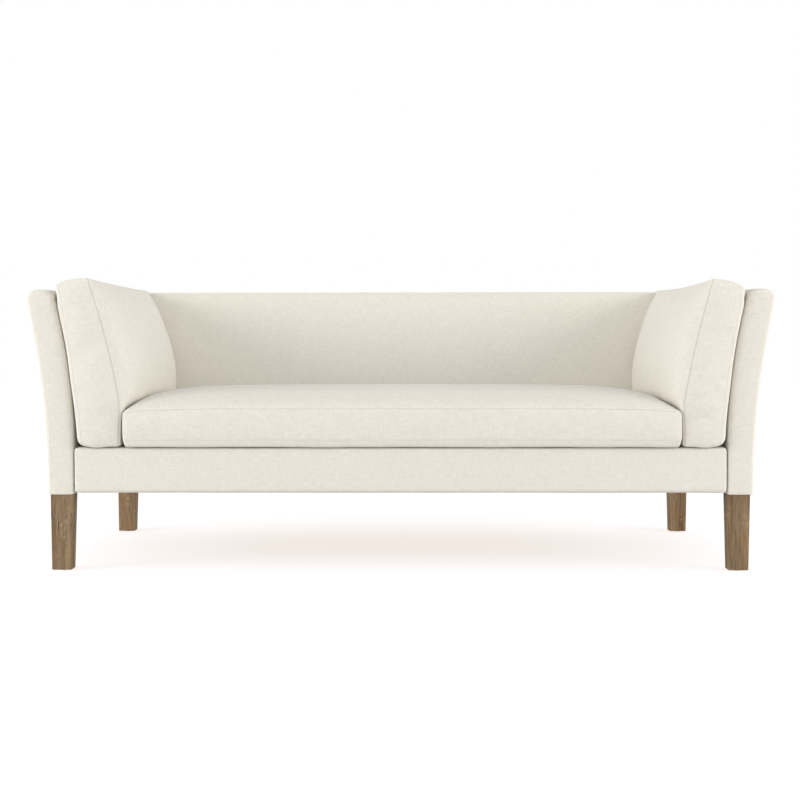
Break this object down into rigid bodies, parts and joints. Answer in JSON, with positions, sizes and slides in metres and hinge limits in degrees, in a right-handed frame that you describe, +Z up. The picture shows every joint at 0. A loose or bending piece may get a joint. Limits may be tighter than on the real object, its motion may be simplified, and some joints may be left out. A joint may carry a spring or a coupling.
{
  "type": "shelter arm sofa",
  "caption": "Upholstered sofa with flared shelter arms, a tight raked back, one long seat cushion, loose arm cushions and tapered oak legs.",
  "frame": {"origin": "middle of the bounding box, on the floor under the glides", "axes": "+X along the width towards the right arm as seen from the front, +Y towards the back, +Z up"},
  "size_m": [2.1432, 0.914, 0.8498],
  "materials": {
    "leg_oak": "matte",
    "glide_nylon": "matte",
    "hardware_steel": "satin",
    "spring_steel": "satin",
    "felt": "matte",
    "dust_cloth": "matte",
    "webbing": "matte",
    "foam": "matte",
    "linen": "matte",
    "hardboard": "matte",
    "frame_wood": "matte"
  },
  "bodies": {
    "frame": {"front_left_leg": "leg_oak", "front_right_leg": "leg_oak", "rear_left_leg": "leg_oak", "rear_right_leg": "leg_oak", "floor_glides": "glide_nylon", "leg_hanger_bolts": "hardware_steel", "leg_inserts": "hardware_steel", "front_rail": "frame_wood", "rear_rail": "frame_wood", "left_side_rail": "frame_wood", "right_side_rail": "frame_wood", "seat_stretchers": "frame_wood", "corner_blocks": "frame_wood", "frame_screws": "hardware_steel", "left_arm_base_rail": "frame_wood", "right_arm_base_rail": "frame_wood", "left_arm_front_post": "frame_wood", "right_arm_front_post": "frame_wood", "left_arm_rear_post": "frame_wood", "right_arm_rear_post": "frame_wood", "left_arm_top_rail": "frame_wood", "right_arm_top_rail": "frame_wood", "left_arm_tack_rail": "frame_wood", "right_arm_tack_rail": "frame_wood", "left_arm_outer_panel": "hardboard", "right_arm_outer_panel": "hardboard", "left_arm_inner_panel": "hardboard", "right_arm_inner_panel": "hardboard", "arm_bolts": "hardware_steel", "left_back_post": "frame_wood", "left_mid_back_post": "frame_wood", "right_mid_back_post": "frame_wood", "right_back_post": "frame_wood", "back_top_rail": "frame_wood", "back_tack_rails": "frame_wood", "back_webbing": "webbing", "outside_back_panel": "hardboard", "seat_springs": "spring_steel", "spring_clips": "spring_steel", "spring_tie_wires": "spring_steel", "deck_felt": "felt", "front_rail_padding": "foam", "back_padding": "foam", "left_arm_padding": "foam", "right_arm_padding": "foam", "deck_cover": "linen", "front_rail_cover": "linen", "dust_cover": "dust_cloth", "back_cover": "linen", "left_arm_cover": "linen", "right_arm_cover": "linen"},
    "seat_cushion_body": {"seat_cushion": "linen", "seat_cushion_core": "foam"},
    "left_arm_cushion_body": {"left_arm_cushion": "linen", "left_arm_cushion_core": "foam"},
    "right_arm_cushion_body": {"right_arm_cushion": "linen", "right_arm_cushion_core": "foam"}
  },
  "joints": [
    {"name": "seat_cushion_slide", "type": "slide", "parent": "frame", "child": "seat_cushion_body", "axis": [0, -1, 0], "range_m": [0, 0.74]},
    {"name": "left_arm_cushion_lift", "type": "slide", "parent": "frame", "child": "left_arm_cushion_body", "axis": [0, 0, 1], "range_m": [0, 0.52]},
    {"name": "right_arm_cushion_lift", "type": "slide", "parent": "frame", "child": "right_arm_cushion_body", "axis": [0, 0, 1], "range_m": [0, 0.52]}
  ]
}
